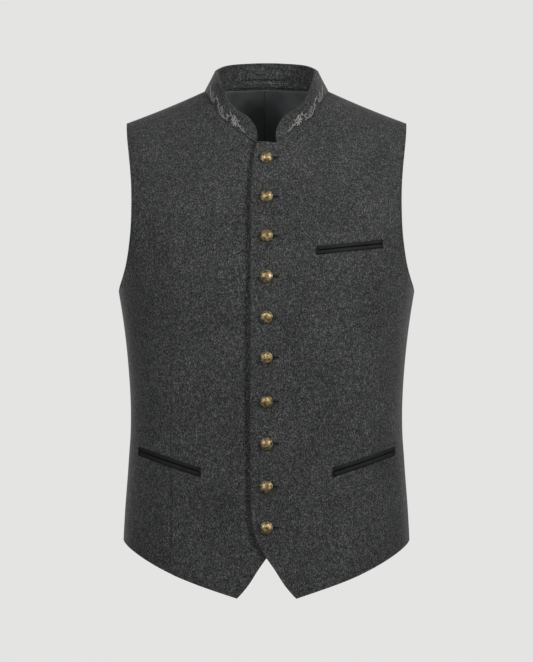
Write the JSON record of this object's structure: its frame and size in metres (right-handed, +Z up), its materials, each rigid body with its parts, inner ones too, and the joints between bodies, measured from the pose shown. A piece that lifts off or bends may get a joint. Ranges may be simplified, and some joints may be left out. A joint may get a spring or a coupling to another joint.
{
  "type": "stand-collar vest",
  "caption": "Folk-dress vest in charcoal loden, worn shape with no wearer: stand-up collar, jetted pockets and a buttoned front with domed metal buttons.",
  "frame": {"origin": "midway between the two neck points, where shoulder seam and neckline meet, at the height of those points: where the wearer's shoulders hold the vest", "axes": "+Z up, -Y out of the vest's front, +X to the wearer's left"},
  "size_m": [0.372, 0.2523, 0.6663],
  "materials": {
    "loden": "charcoal melange wool loden, fulled and slightly napped",
    "lining": "dark grey satin lining",
    "jet": "black satin-weave pocket jets",
    "button": "antique brass, patinated, slightly worn on the dome"
  },
  "bodies": {
    "root": {"front_left": "loden", "front_right": "loden", "back_left": "loden", "back_right": "loden", "collar": "loden", "back_lining": "lining", "hanger_loop": "loden", "breast_jet_upper": "jet", "breast_jet_lower": "jet", "left_pocket_jet_upper": "jet", "left_pocket_jet_lower": "jet", "right_pocket_jet_upper": "jet", "right_pocket_jet_lower": "jet", "button_1": "button", "button_2": "button", "button_3": "button", "button_4": "button", "button_5": "button", "button_6": "button", "button_7": "button", "button_8": "button", "button_9": "button", "button_10": "button"}
  },
  "joints": []
}
